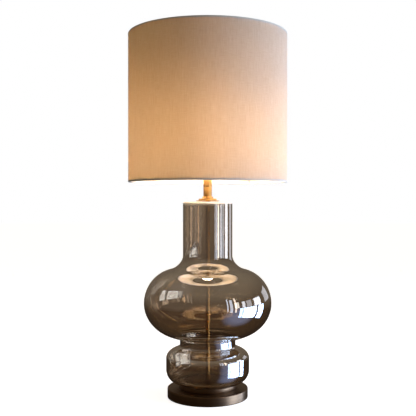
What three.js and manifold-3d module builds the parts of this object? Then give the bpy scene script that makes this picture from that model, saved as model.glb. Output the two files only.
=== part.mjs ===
// Table lamp with a drum shade: a smoked glass gourd on a weighted brass foot, threaded on one hollow rod,
// with an E27 lampholder whose clamp ring carries the shade on a tilting gimbal.
// Millimetres, +Z up, origin at the centre of the underside. The lamp is a stack: each piece rests on the
// one below it with an air gap, so every level follows from the heights under it.

import * as THREE from 'three';
import { mergeVertices } from 'three/addons/utils/BufferGeometryUtils.js';
import Module from 'manifold-3d';

const wasm = await Module();
wasm.setup();

// ---------------------------------------------------------------- driving dimensions

const gap = 0.3;          // air between pieces that touch
const runningGap = 0.5;   // air between pieces that move on each other
const large = 48;         // facets of the widest pieces, a multiple of 12 so that the arms meet corners
const small = 24;         // facets of the pieces round the rod

const felt = { thickness: 2.2 };
const foot = { radius: 90.6, height: 20.9, lift: 0.6, wall: 1.6, edge: 1.8 };
const weight = { recessRadius: 14, recessDepth: 8 };
const inlet = { boreRadius: 3.6, barrelRadius: 5, flangeRadius: 7, flange: 1.5, barrel: 7, height: 11,
  edge: 0.6 };
const seat = { radius: 65.5, height: 9.6, edge: 1, spigotAir: 1.5, spigotHeight: 6 };
const gasket = { lower: 0.8, upper: 0.7, edge: 1.2, capEdge: 3 };

const glass = {
  wall: 4, floor: 5, holeRadius: 52, topHoleRadius: 8,
  bulbRadius: 93.7, cornerReach: 28.2, cornerRise: 29.5, sideTop: 55.1, shoulderRise: 24.6,
  waistRadius: 62.8, waistBottom: 84.2, waistTop: 95.7, shoulderInset: 8, bodyInset: 6.2, neckFlare: 13.3,
  bodyRadius: 143.5, bodyWidest: 178.4, bodyBelow: 77.4, bodyAbove: 77.3,
  neckRadius: 55.7, neckStart: 286.2, height: 406.4, topEdge: 4,
};

const capPlate = { radius: 26.5, height: 1.5, edge: 0.6 };
const capRing = { radius: 21, height: 4, edge: 1.6 };
const capCollar = { radius: 13, topRadius: 10.6, height: 4.6 };
const rod = { radius: 5, boreRadius: 3.5, facets: 16, tail: 3 };
const nut = { flatsPerRadius: 2.8, height: 5, washerWidth: 6.6, washer: 1.6, lockHeight: 3.2 };
const stem = { radius: 9.5, wall: 1.5, length: 25.8 };
const coupler = { radius: 11, height: 18.5, edge: 0.8, screwRadius: 1.5, screwLength: 5 };

const holder = {
  radius: 19.5, wall: 1.5, floor: 2.8, edge: 0.6, capHeight: 17.5, skirtHeight: 38.5,
  flangeWidth: 3, flange: 2, flangeHeight: 17.4,
  cup: { floor: 0.6, flare: 0.75, flareHeight: 1.4, sideHeight: 6, innerFloor: 0.66, innerSide: 7 },
};
const block = { height: 12.6, lift: 7.4 };
const terminal = { radius: 2, length: 5, spread: 9, facets: 12 };
const sleeve = { wall: 1.4, height: 33 };
const screwShell = { radius: 14.5, wall: 0.8, height: 26, lift: 3.2 };
const contact = { width: 5, strip: 0.6, rise: 3.2, foot: 6, ramp: 3, tongue: 4, cant: 0.4 };
const switchBar = { side: 6, length: 49, shift: 3, level: 11.5, corner: 1.2 };

const bulb = {
  tipRadius: 4.5, tipHeight: 1.6, glassHeight: 3.4, glassRadius: 11.8,
  capRadius: 13.2, capHeight: 21.5, threadPitch: 3.6, threadDepth: 0.9, threads: 5, capWall: 0.9,
  neckRadius: 12.8, radius: 30, neckHeight: 5, widest: 45.5, height: 75.5, wall: 1,
};

const gimbal = { innerWidth: 3.9, innerHeight: 2.4, airWidth: 2.5, band: 1.5, bandHeight: 7 };
const pin = { radius: 1.5, headRadius: 2.8, head: 1.8, facets: 12 };
const clampRing = { height: 7.8, flange: 2, flangeWidth: 3.9, wall: 2.4, edge: 0.6 };
const arms = { count: 3, firstAngle: 54, wireRadius: 1.6, reach: 125, bend: 14, sides: 8, steps: 14 };
const shade = {
  radius: 178, height: 330, drop: 47.2, fabric: 0.8, liner: 0.6, wireRadius: 1.6, wireSides: 6,
  hem: 0.7, hemHeight: 11, notch: 6,
};

// ---------------------------------------------------------------- finishes

const finish = (color, roughness, metalness, extra = {}) =>
  new THREE.MeshStandardMaterial({ color, roughness, metalness, ...extra });
const antiqueBrass = finish(0x6b563f, 0.36, 1);
const polishedBrass = finish(0xd9a860, 0.24, 1);
const castIron = finish(0x3b3b3a, 0.75, 0.6);
const zincSteel = finish(0xb9bcbf, 0.35, 1);
const whiteWire = finish(0xe9e6df, 0.4, 0.2);
const smokedGlass = finish(0x6f5b47, 0.05, 0.1, { transparent: true, opacity: 0.45 });
const opalGlass = finish(0xfff6e4, 0.5, 0, { emissive: 0xffd9a0, emissiveIntensity: 1 });
const blackPlastic = finish(0x1c1b1a, 0.45, 0);
const paleRubber = finish(0xd8d2c4, 0.7, 0);
const brownFelt = finish(0x3a2f27, 0.95, 0);
const linen = finish(0xc9a57f, 0.9, 0);
const whiteLiner = finish(0xf7f1e4, 0.6, 0);

// ---------------------------------------------------------------- geometry helpers

const rz = (r, z) => new THREE.Vector2(r, z);
const radians = THREE.MathUtils.degToRad;

// A solid of revolution about +Z. The outline runs anticlockwise in (radius, height) and closes on itself,
// unless it starts and ends on the axis.
function turned(outline, facets) {
  const ends = outline[0].x === 0 && outline.at(-1).x === 0;
  const points = ends ? outline : [...outline, outline[0]];
  return new THREE.LatheGeometry(points, facets).rotateX(Math.PI / 2);
}

// A tube with square ends, and one with its outer edges broken by a chamfer.
const tube = (inner, outer, height, facets) =>
  turned([rz(inner, 0), rz(outer, 0), rz(outer, height), rz(inner, height)], facets);
const chamferedTube = (inner, outer, height, edge, facets) => turned([
  rz(inner, 0), rz(outer - edge, 0), rz(outer, edge), rz(outer, height - edge), rz(outer - edge, height),
  rz(inner, height),
], facets);

// Points of an ellipse arc, from one angle to another in degrees.
function ellipseArc(centre, reach, rise, from, to, steps) {
  return Array.from({ length: steps + 1 }, (_, i) => {
    const angle = radians(from + ((to - from) * i) / steps);
    return rz(centre.x + reach * Math.cos(angle), centre.y + rise * Math.sin(angle));
  });
}

// A smooth bend between two points whose tangents meet at a corner.
function bend(start, corner, end, steps) {
  const pull = 0.55;
  return new THREE.CubicBezierCurve(
    start, start.clone().lerp(corner, pull), end.clone().lerp(corner, pull), end,
  ).getPoints(steps);
}

// An outline moved inwards by a wall, each point along its own normal.
function inset(points, wall) {
  return points.map((p, i) => {
    const before = points[Math.max(i - 1, 0)], after = points[Math.min(i + 1, points.length - 1)];
    const along = after.clone().sub(before).normalize();
    return rz(p.x - along.y * wall, p.y + along.x * wall);
  });
}

// A block centred on the origin, the corner radius of a hexagon from the width across its flats, and a
// round or six-sided pin along Z.
const box = (x, y, z) => new THREE.BoxGeometry(x, y, z);
const hexagon = (acrossFlats) => acrossFlats / Math.sqrt(3);
const peg = (radius, length, facets) =>
  new THREE.CylinderGeometry(radius, radius, length, facets).rotateX(Math.PI / 2);

// A geometry as a solid for cutting, and the cut solid as a geometry again.
function solidOf(geometry) {
  const bare = new THREE.BufferGeometry().setAttribute('position', geometry.getAttribute('position'));
  bare.setIndex(geometry.index);
  const merged = mergeVertices(bare, 1e-4);
  return new wasm.Manifold(new wasm.Mesh({
    numProp: 3,
    vertProperties: merged.getAttribute('position').array,
    triVerts: new Uint32Array(merged.index.array),
  }));
}

function cut(geometry, ...tools) {
  const result = tools.reduce((solid, tool) => solid.subtract(solidOf(tool)), solidOf(geometry));
  const mesh = result.getMesh();
  const made = new THREE.BufferGeometry();
  made.setAttribute('position', new THREE.BufferAttribute(mesh.vertProperties, 3));
  made.setIndex(new THREE.BufferAttribute(mesh.triVerts, 1));
  made.computeVertexNormals();
  return made;
}

function part(name, geometry, material, level = 0) {
  const mesh = new THREE.Mesh(geometry, material);
  mesh.name = name;
  mesh.position.z = level;
  return mesh;
}

const group = (...children) => new THREE.Group().add(...children);

// ---------------------------------------------------------------- levels, from the table upwards

const footTop = foot.lift + foot.height;
const weightBottom = felt.thickness + gap;
const weightTop = footTop - foot.wall - gap;
const seatBottom = footTop + gap;
const lowerGasketBottom = seatBottom + seat.height + gap;
const glassBottom = lowerGasketBottom + gasket.lower + gap;
const upperGasketBottom = glassBottom + glass.height + gap;
const capPlateBottom = upperGasketBottom + gasket.upper + gap;
const capRingBottom = capPlateBottom + capPlate.height + gap;
const stemBottom = capRingBottom + capRing.height + gap;
const couplerBottom = stemBottom + stem.length + gap;
const holderBottom = couplerBottom + coupler.height + gap;
const skirtBottom = holderBottom + holder.capHeight + gap;
const lockNutBottom = holderBottom + holder.floor + gap;
const rodTop = lockNutBottom + nut.lockHeight + gap;
const blockBottom = holderBottom + block.lift;
const blockTop = blockBottom + block.height;
const contactTop = blockTop + gap + contact.rise + contact.strip;
const gimbalBottom = skirtBottom + holder.flangeHeight + holder.flange + gap;
const pivotLevel = gimbalBottom + gimbal.innerHeight / 2;
const clampRingBottom = gimbalBottom + gimbal.innerHeight + gap;
const shadeBottom = pivotLevel - shade.drop;

const facetAir = 0.1;      // extra air where a facetted hole goes round a facetted shaft
const rodHole = rod.radius + gap + facetAir;
const holderBore = holder.radius - holder.wall;
const clampBore = holder.radius + runningGap + facetAir;
const nutFlats = nut.flatsPerRadius * rod.radius;
const spigotRadius = glass.holeRadius - seat.spigotAir;

// ---------------------------------------------------------------- foot

function makeFoot() {
  const inner = foot.radius - foot.wall;
  const shell = turned([
    rz(inner, 0), rz(foot.radius - foot.edge / 2, 0), rz(foot.radius, foot.edge / 2),
    ...ellipseArc(rz(foot.radius - foot.edge, foot.height - foot.edge), foot.edge, foot.edge, 0, 90, 3),
    rz(rodHole, foot.height), rz(rodHole, foot.height - foot.wall), rz(inner, foot.height - foot.wall),
  ], large);
  const inletHole = peg(inlet.barrelRadius + gap, 4 * foot.wall, small).rotateX(Math.PI / 2);
  inletHole.translate(0, inner, inlet.height - foot.lift);

  const ironRadius = inner - gap;
  const ironHeight = weightTop - weightBottom;
  const iron = turned([
    rz(weight.recessRadius, 0), rz(ironRadius, 0), rz(ironRadius, ironHeight), rz(rodHole, ironHeight),
    rz(rodHole, weight.recessDepth), rz(weight.recessRadius, weight.recessDepth),
  ], large);
  // The cord's channel runs from the nut's recess out to the bushing, open underneath.
  const channelTop = inlet.height + inlet.barrelRadius + gap - weightBottom;
  const channel = box(2 * (inlet.barrelRadius + gap), foot.radius, 2 * channelTop);
  channel.translate(0, (foot.radius + weight.recessRadius) / 2, 0);

  const bushing = turned([
    rz(inlet.boreRadius, 0), rz(inlet.barrelRadius, 0), rz(inlet.barrelRadius, inlet.barrel),
    rz(inlet.flangeRadius, inlet.barrel), rz(inlet.flangeRadius - inlet.edge, inlet.barrel + inlet.flange),
    rz(inlet.boreRadius, inlet.barrel + inlet.flange),
  ], small).rotateX(-Math.PI / 2);
  const bushingMesh = part('inlet_bushing', bushing, blackPlastic, inlet.height);
  bushingMesh.position.y = foot.radius + gap - inlet.barrel;

  const washerLevel = weightBottom + weight.recessDepth - gap - nut.washer;
  const nutSolid = cut(peg(hexagon(nutFlats), nut.height, 6), peg(rodHole, 2 * nut.height, rod.facets));
  return group(
    part('felt_pad', turned([rz(0, 0), rz(ironRadius, 0), rz(ironRadius, felt.thickness),
      rz(0, felt.thickness)], large), brownFelt),
    part('base_shell', cut(shell, inletHole), antiqueBrass, foot.lift),
    part('base_weight', cut(iron, channel), castIron, weightBottom),
    bushingMesh,
    part('base_washer', tube(rodHole, rodHole + nut.washerWidth, nut.washer, rod.facets), zincSteel,
      washerLevel),
    part('base_nut', nutSolid, zincSteel, washerLevel - gap - nut.height / 2),
  );
}

// ---------------------------------------------------------------- glass and what it stands on

function makeSeat() {
  const body = turned([
    rz(rodHole, 0), rz(seat.radius, 0), rz(seat.radius, seat.height - seat.edge),
    rz(seat.radius - seat.edge, seat.height), rz(spigotRadius, seat.height),
    rz(spigotRadius, seat.height + seat.spigotHeight), rz(rodHole, seat.height + seat.spigotHeight),
  ], large);
  const gasketOuter = seat.radius - seat.edge - gap;
  return group(
    part('glass_seat', body, antiqueBrass, seatBottom),
    part('lower_gasket', tube(glass.holeRadius + gasket.edge, gasketOuter, gasket.lower, large), paleRubber,
      lowerGasketBottom),
  );
}

// The outside of the glass from its foot up to the start of the neck: a squat bulb, a waist, a wide
// body and a flare into the neck, as ellipse arcs joined by smooth bends.
function glassOutline() {
  const corner = ellipseArc(rz(glass.bulbRadius - glass.cornerReach, glass.cornerRise),
    glass.cornerReach, glass.cornerRise, -90, 0, 5);
  const shoulderCentre = rz(glass.waistRadius - glass.shoulderInset, glass.sideTop);
  const shoulder = ellipseArc(shoulderCentre, glass.bulbRadius - shoulderCentre.x, glass.shoulderRise,
    0, 72, 5);
  const lowerCentre = rz(glass.waistRadius - glass.bodyInset, glass.bodyWidest);
  const lower = ellipseArc(lowerCentre, glass.bodyRadius - lowerCentre.x, glass.bodyBelow, -82, 0, 7);
  const upperCentre = rz(glass.neckRadius + glass.neckFlare, glass.bodyWidest);
  const upper = ellipseArc(upperCentre, glass.bodyRadius - upperCentre.x, glass.bodyAbove, 0, 77, 7);
  const waistLow = rz(glass.waistRadius, glass.waistBottom);
  const waistHigh = rz(glass.waistRadius, glass.waistTop);
  const neck = rz(glass.neckRadius, glass.neckStart);
  const cornerOf = (from, towards, slope) =>
    rz(towards.x, from.y + slope * (from.x - towards.x));
  const shoulderEnd = shoulder.at(-1), lowerStart = lower[0], upperEnd = upper.at(-1);
  return [
    ...corner, ...shoulder,
    ...bend(shoulderEnd, cornerOf(shoulderEnd, waistLow, 0.2), waistLow, 2).slice(1),
    ...bend(waistHigh, cornerOf(lowerStart, waistHigh, -0.13), lowerStart, 2).slice(0, -1),
    ...lower, ...upper.slice(1),
    ...bend(upperEnd, cornerOf(upperEnd, neck, 0.24), neck, 4).slice(1),
  ];
}

function makeGlass() {
  const outside = glassOutline();
  const neckInner = glass.neckRadius - glass.wall;
  const top = ellipseArc(rz(glass.neckRadius - glass.topEdge, glass.height - glass.topEdge),
    glass.topEdge, glass.topEdge, 0, 90, 2);
  const aboveFloor = (p) => p.y > glass.floor;
  const everyThird = (i) => i % 3 === 0;
  const thinned = inset(outside, glass.wall).filter((p, i) => aboveFloor(p) && everyThird(i));
  const floorCorner = rz(thinned[0].x - 2, glass.floor);
  const outline = [
    rz(glass.holeRadius, 0), ...outside, ...top,
    rz(glass.topHoleRadius, glass.height), rz(glass.topHoleRadius, glass.height - glass.floor),
    rz(neckInner, glass.height - glass.floor), rz(neckInner, glass.neckStart),
    ...thinned.reverse(), floorCorner, rz(glass.holeRadius, glass.floor),
  ];
  return group(
    part('glass_body', turned(outline, large), smokedGlass, glassBottom),
    part('upper_gasket', tube(rodHole, capPlate.radius - gasket.capEdge, gasket.upper, small), paleRubber,
      upperGasketBottom),
  );
}

// ---------------------------------------------------------------- neck cap, rod and stem

function makeStem() {
  const ring = turned([
    rz(rodHole, 0), rz(capRing.radius, 0), rz(capRing.radius, capRing.height - capRing.edge),
    ...ellipseArc(rz(capRing.radius - capRing.edge, capRing.height - capRing.edge), capRing.edge,
      capRing.edge, 0, 90, 3).slice(1),
    rz(rodHole, capRing.height),
  ], small);
  const collar = turned([
    rz(stem.radius + gap, 0), rz(capCollar.radius, 0), rz(capCollar.topRadius, capCollar.height),
    rz(stem.radius + gap, capCollar.height),
  ], small);
  const couplerBody = chamferedTube(rodHole, coupler.radius, coupler.height, coupler.edge, small);
  const screwStart = coupler.radius - coupler.screwLength + gap;
  const screwHole = peg(coupler.screwRadius + gap, coupler.radius, 12).rotateX(Math.PI / 2);
  screwHole.translate(0, screwStart - gap + coupler.radius / 2, coupler.height / 2);
  const screw = part('coupler_screw', peg(coupler.screwRadius, coupler.screwLength, 12).rotateX(Math.PI / 2),
    polishedBrass, couplerBottom + coupler.height / 2);
  screw.position.y = screwStart + coupler.screwLength / 2;
  return group(
    part('cap_plate', chamferedTube(rodHole, capPlate.radius, capPlate.height, capPlate.edge, small),
      polishedBrass, capPlateBottom),
    part('cap_ring', ring, polishedBrass, capRingBottom),
    part('cap_collar', collar, polishedBrass, stemBottom),
    part('threaded_rod', tube(rod.boreRadius, rod.radius, rodTop - rod.tail, rod.facets), polishedBrass,
      rod.tail),
    part('stem_tube', tube(stem.radius - stem.wall, stem.radius, stem.length, small), polishedBrass,
      stemBottom),
    part('stem_coupler', cut(couplerBody, screwHole), polishedBrass, couplerBottom),
    screw,
  );
}

// ---------------------------------------------------------------- lampholder

function makeHolder() {
  const { radius, floor, capHeight, skirtHeight, flange, flangeHeight, flangeWidth, cup } = holder;
  const cupSolid = turned([
    rz(rodHole, 0), rz(radius * cup.floor, 0), rz(radius * cup.flare, cup.flareHeight),
    rz(radius, cup.sideHeight), rz(radius, capHeight), rz(holderBore, capHeight),
    rz(holderBore, cup.innerSide), rz(radius * cup.innerFloor, floor), rz(rodHole, floor),
  ], small);
  const window = box(4 * radius, switchBar.side + 2 * runningGap, switchBar.side + 2 * runningGap);
  const windowInCap = window.clone().translate(0, 0, switchBar.level);
  const windowInBlock = window.translate(0, 0, switchBar.level - block.lift);

  const blockRadius = holderBore - gap - facetAir;
  let blockSolid = turned([rz(0, 0), rz(blockRadius, 0), rz(blockRadius, block.height),
    rz(0, block.height)], small);
  const terminals = [-1, 1].map((side, i) => {
    const hole = peg(terminal.radius + gap, 2 * terminal.length, terminal.facets);
    hole.translate(0, side * terminal.spread, block.height);
    blockSolid = cut(blockSolid, hole);
    const screw = part(`terminal_screw_${i + 1}`, peg(terminal.radius, terminal.length, terminal.facets),
      polishedBrass, blockTop - terminal.length / 2 + gap);
    screw.position.y = side * terminal.spread;
    return screw;
  });

  const skirt = turned([
    rz(holderBore, 0), rz(radius, 0), rz(radius, flangeHeight), rz(radius + flangeWidth, flangeHeight),
    rz(radius + flangeWidth, flangeHeight + flange), rz(radius, flangeHeight + flange),
    rz(radius, skirtHeight - holder.edge), rz(radius - holder.edge, skirtHeight), rz(holderBore, skirtHeight),
  ], small);

  // The centre contact is a bent spring strip: a foot on the block, a ramp and a raised tongue.
  const rampStart = -contact.ramp, footStart = rampStart - contact.foot;
  const strip = new THREE.Shape([
    rz(footStart, 0), rz(rampStart, 0), rz(0, contact.rise), rz(contact.tongue, contact.rise),
    rz(contact.tongue, contact.rise + contact.strip), rz(-contact.cant, contact.rise + contact.strip),
    rz(rampStart - contact.cant, contact.strip), rz(footStart, contact.strip),
  ]);
  const spring = new THREE.ExtrudeGeometry(strip, { depth: contact.width, bevelEnabled: false });
  spring.rotateX(Math.PI / 2).translate(0, contact.width / 2, 0);

  const sleeveOuter = holderBore - gap - facetAir;
  const bar = new THREE.Shape();
  const half = switchBar.side / 2, cornerRadius = switchBar.corner;
  bar.moveTo(-half + cornerRadius, -half).lineTo(half - cornerRadius, -half)
    .quadraticCurveTo(half, -half, half, -half + cornerRadius).lineTo(half, half - cornerRadius)
    .quadraticCurveTo(half, half, half - cornerRadius, half).lineTo(-half + cornerRadius, half)
    .quadraticCurveTo(-half, half, -half, half - cornerRadius).lineTo(-half, -half + cornerRadius)
    .quadraticCurveTo(-half, -half, -half + cornerRadius, -half);
  const barSolid = new THREE.ExtrudeGeometry(bar, { depth: switchBar.length, bevelEnabled: false,
    curveSegments: 3 });
  barSolid.translate(0, 0, -switchBar.length / 2).rotateY(Math.PI / 2).translate(switchBar.shift, 0, 0);
  const lockNut = cut(peg(hexagon(nutFlats), nut.lockHeight, 6),
    peg(rodHole, 2 * nut.lockHeight, rod.facets));
  return group(
    part('holder_cap', cut(cupSolid, windowInCap), polishedBrass, holderBottom),
    part('holder_lock_nut', lockNut, zincSteel, lockNutBottom + nut.lockHeight / 2),
    part('terminal_block', cut(blockSolid, windowInBlock), blackPlastic, blockBottom),
    ...terminals,
    part('switch_bar', barSolid, blackPlastic, holderBottom + switchBar.level),
    part('holder_skirt', skirt, polishedBrass, skirtBottom),
    part('insulating_sleeve', tube(sleeveOuter - sleeve.wall, sleeveOuter, sleeve.height, small),
      blackPlastic, blockTop + gap),
    part('screw_shell', tube(screwShell.radius - screwShell.wall, screwShell.radius, screwShell.height,
      small), polishedBrass, blockTop + screwShell.lift),
    part('centre_contact', spring, polishedBrass, blockTop + gap),
  );
}

// ---------------------------------------------------------------- light bulb

function makeBulb() {
  const glassLevel = bulb.tipHeight + gap;
  const capLevel = glassLevel + bulb.glassHeight + gap;
  const globeLevel = capLevel + bulb.capHeight + gap;
  const crest = bulb.capRadius, root = bulb.capRadius - bulb.threadDepth;
  const thread = Array.from({ length: bulb.threads }, (_, i) => {
    const start = 1 + i * bulb.threadPitch;
    return [rz(root, start), rz(crest, start + bulb.threadPitch / 2)];
  }).flat();
  const capInner = root - bulb.capWall;
  const cap = turned([
    rz(capInner, 0), rz(root, 0), ...thread, rz(root, 1 + bulb.threads * bulb.threadPitch),
    rz(root, bulb.capHeight), rz(capInner, bulb.capHeight),
  ], small);

  const neck = rz(bulb.neckRadius, bulb.neckHeight), side = rz(bulb.radius, bulb.widest);
  const outside = [
    rz(bulb.neckRadius, 0),
    ...new THREE.CubicBezierCurve(neck, rz(neck.x + 1, neck.y + 14), rz(side.x, side.y - 16), side)
      .getPoints(5),
    ...ellipseArc(rz(0, bulb.widest), bulb.radius, bulb.height - bulb.widest, 0, 90, 4).slice(1),
  ];
  outside.at(-1).x = 0;
  const inside = inset(outside, bulb.wall);
  inside[0].y = 0;
  inside.at(-1).x = 0;
  return group(
    part('bulb_tip', turned([rz(0, 0), rz(bulb.tipRadius - 1, 0), rz(bulb.tipRadius, bulb.tipHeight),
      rz(0, bulb.tipHeight)], small), zincSteel),
    part('bulb_insulator', turned([rz(0, 0), rz(bulb.tipRadius + 1, 0), rz(bulb.glassRadius,
      bulb.glassHeight), rz(0, bulb.glassHeight)], small), blackPlastic, glassLevel),
    part('bulb_cap', cap, zincSteel, capLevel),
    part('bulb_globe', turned([...outside, ...inside.reverse()], small), opalGlass, globeLevel),
  );
}

// ---------------------------------------------------------------- shade and its gimbal

function makeGimbal() {
  const innerRadius = clampBore + gimbal.innerWidth;
  const gripRadius = clampBore + clampRing.wall, flangeRadius = clampBore + clampRing.flangeWidth;
  const bandInner = innerRadius + gimbal.airWidth;
  const bandOuter = bandInner + gimbal.band;
  const shank = gimbal.airWidth + gimbal.band;
  const pinSolid = turned([
    rz(0, 0), rz(pin.radius, 0), rz(pin.radius, shank), rz(pin.headRadius, shank),
    rz(pin.headRadius, shank + pin.head), rz(0, shank + pin.head),
  ], pin.facets).rotateX(-Math.PI / 2);
  const pinHole = peg(pin.radius + runningGap, 4 * bandOuter, pin.facets).rotateX(Math.PI / 2);
  const band = tube(bandInner, bandOuter, gimbal.bandHeight, small).translate(0, 0, -gimbal.bandHeight / 2);
  const pins = ['back', 'front'].map((where, i) => {
    const mesh = part(`gimbal_pin_${where}`, pinSolid, zincSteel, pivotLevel);
    mesh.position.y = (1 - 2 * i) * (innerRadius + gap);
    mesh.rotation.z = i * Math.PI;
    return mesh;
  });
  return {
    bandOuter,
    carrier: group(
      part('gimbal_inner_ring', tube(clampBore, innerRadius, gimbal.innerHeight, small), whiteWire,
        gimbalBottom),
      ...pins,
      part('clamp_ring', turned([
        rz(clampBore, 0), rz(flangeRadius, 0), rz(flangeRadius, clampRing.flange),
        rz(gripRadius, clampRing.flange), rz(gripRadius, clampRing.height - clampRing.edge),
        rz(gripRadius - clampRing.edge, clampRing.height), rz(clampBore, clampRing.height),
      ], small), blackPlastic, clampRingBottom),
    ),
    ring: part('gimbal_outer_ring', cut(band, pinHole), whiteWire, pivotLevel),
  };
}

function makeShade() {
  const fabricInner = shade.radius - shade.fabric;
  const linerOuter = fabricInner - gap;
  const linerInner = linerOuter - shade.liner;
  const wireCentre = linerInner - gap - shade.wireRadius;
  const hemInner = wireCentre - shade.wireRadius - gap - shade.hem;
  const wireLevel = shade.hem + gap + shade.wireRadius;
  const wallHeight = shade.height - 2 * (shade.hem + gap);
  const wallLevel = shadeBottom + shade.hem + gap;
  const { carrier, bandOuter, ring } = makeGimbal();

  const wire = turned(ellipseArc(rz(wireCentre, 0), shade.wireRadius, shade.wireRadius, 30, 330,
    shade.wireSides - 1), large);
  const hem = turned([
    rz(hemInner, 0), rz(shade.radius, 0), rz(shade.radius, shade.hem), rz(hemInner + shade.hem, shade.hem),
    rz(hemInner + shade.hem, shade.hemHeight), rz(hemInner, shade.hemHeight),
  ], large);
  const topHem = part('top_hem', hem, linen, shadeBottom + shade.height);
  topHem.rotation.x = Math.PI;

  // Each arm runs level from the gimbal band, bends down and meets the bottom wire. The hem is notched there.
  const start = rz(bandOuter + gap, 0);
  const knee = rz(arms.reach, 0);
  const end = rz(wireCentre, wireLevel - shade.drop);
  const slope = end.clone().sub(knee).normalize();
  end.addScaledVector(slope, -(shade.wireRadius + gap + facetAir));
  const along = (p) => new THREE.Vector3(p.x, 0, p.y);
  const path = new THREE.CurvePath();
  const before = rz(knee.x - arms.bend, 0), after = knee.clone().addScaledVector(slope, arms.bend);
  path.add(new THREE.LineCurve3(along(start), along(before)));
  path.add(new THREE.QuadraticBezierCurve3(along(before), along(knee), along(after)));
  path.add(new THREE.LineCurve3(along(after), along(end)));
  const section = new THREE.Shape(Array.from({ length: arms.sides }, (_, i) => {
    const angle = (2 * Math.PI * i) / arms.sides;
    return rz(arms.wireRadius * Math.cos(angle), arms.wireRadius * Math.sin(angle));
  }));
  const armSolid = new THREE.ExtrudeGeometry(section, { steps: arms.steps, extrudePath: path });
  const armAngles = Array.from({ length: arms.count }, (_, i) => (360 * i) / arms.count);
  const armMeshes = armAngles.map((angle, i) => {
    const mesh = part(`carrier_arm_${i + 1}`, armSolid, whiteWire, pivotLevel);
    mesh.rotation.z = radians(angle);
    return mesh;
  });
  const notches = armAngles.map((angle) => {
    const slot = box(4 * (wireCentre - hemInner), shade.notch, 2 * shade.hemHeight);
    slot.translate(hemInner, 0, shade.hem + gap + shade.hemHeight);
    return slot.rotateZ(radians(angle));
  });
  // Turned as one, so that a corner of each facetted ring meets each arm.
  const walls = group(
    ...armMeshes,
    part('shade_bottom_ring', wire, whiteWire, shadeBottom + wireLevel),
    part('shade_top_ring', wire, whiteWire, shadeBottom + shade.height - wireLevel),
    part('shade_liner', tube(linerInner, linerOuter, wallHeight, large), whiteLiner, wallLevel),
    part('shade_fabric', tube(fabricInner, shade.radius, wallHeight, large), linen, wallLevel),
    part('bottom_hem', cut(hem, ...notches), linen, shadeBottom),
    topHem,
  );
  walls.rotation.z = radians(arms.firstAngle);
  return group(carrier, ring, walls);
}

// ---------------------------------------------------------------- the lamp

const bulbGroup = makeBulb();
bulbGroup.position.z = contactTop + gap;
const lamp = group(makeFoot(), makeSeat(), makeGlass(), makeStem(), makeHolder(), bulbGroup, makeShade());

export default lamp;
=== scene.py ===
import math

import bmesh
import bpy
import numpy as np
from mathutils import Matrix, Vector


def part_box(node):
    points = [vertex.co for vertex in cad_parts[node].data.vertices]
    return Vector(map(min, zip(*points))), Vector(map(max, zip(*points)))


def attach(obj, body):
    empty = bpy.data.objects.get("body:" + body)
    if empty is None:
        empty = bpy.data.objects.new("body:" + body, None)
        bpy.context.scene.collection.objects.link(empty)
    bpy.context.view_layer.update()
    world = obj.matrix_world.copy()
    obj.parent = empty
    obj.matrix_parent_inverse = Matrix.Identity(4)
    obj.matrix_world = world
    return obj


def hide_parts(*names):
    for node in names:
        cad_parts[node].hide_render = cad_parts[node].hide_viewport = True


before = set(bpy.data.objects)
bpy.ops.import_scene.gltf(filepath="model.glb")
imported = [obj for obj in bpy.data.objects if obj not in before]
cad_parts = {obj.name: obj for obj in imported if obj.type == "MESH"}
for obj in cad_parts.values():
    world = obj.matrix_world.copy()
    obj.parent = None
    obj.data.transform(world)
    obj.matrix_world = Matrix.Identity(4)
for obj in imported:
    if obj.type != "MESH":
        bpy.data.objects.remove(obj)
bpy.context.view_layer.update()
print("frame loaded with", len(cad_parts), "nodes")

mm = 0.001


# the camera, at eye level with the neck of the glass: place in metres, pitch in degrees, lens in mm

view = {"place": (0.0008, -1.610, 0.4386), "pitch": -0.48, "lens": 61.8}
lens = bpy.data.cameras.new("viewLens")
lens.lens, lens.sensor_width = view["lens"], 36.0
lens.clip_start, lens.clip_end = 0.05, 60
camera = bpy.data.objects.new("viewCamera", lens)
camera.location = view["place"]
camera.rotation_euler = (math.radians(90 + view["pitch"]), 0, 0)
bpy.context.scene.collection.objects.link(camera)
bpy.context.scene.camera = camera


# helpers: meshes

def roundedOutline(corners, steps=5):
    # Each corner is (radius, height, fillet). A fillet f puts in the curve (1-s)^2 A + 2 s (1-s) P
    # + s^2 B, where P is the corner and A and B lie f away from it on its two sides.
    spots = np.array([c[:2] for c in corners], float)
    fillets = np.array([c[2] if len(c) > 2 else 0.0 for c in corners])
    towardsLast = np.roll(spots, 1, axis=0) - spots
    towardsNext = np.roll(spots, -1, axis=0) - spots
    lastLength = np.linalg.norm(towardsLast, axis=1)
    nextLength = np.linalg.norm(towardsNext, axis=1)
    reach = np.minimum(fillets, 0.49 * np.minimum(lastLength, nextLength))
    first = spots + towardsLast * (reach / np.maximum(lastLength, 1e-9))[:, None]
    second = spots + towardsNext * (reach / np.maximum(nextLength, 1e-9))[:, None]
    s = np.linspace(0, 1, steps)[:, None]
    pieces = [
        spots[i:i + 1] if fillets[i] == 0
        else (1 - s) ** 2 * first[i] + 2 * s * (1 - s) * spots[i] + s ** 2 * second[i]
        for i in range(len(corners))
    ]
    return np.vstack(pieces)


def ellipseArc(centre, reach, rise, start, stop, steps):
    # (centre r + reach cos a, centre z + rise sin a), with a from start to stop in degrees
    a = np.radians(np.linspace(start, stop, steps))
    return np.column_stack([centre[0] + reach * np.cos(a), centre[1] + rise * np.sin(a)])


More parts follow.
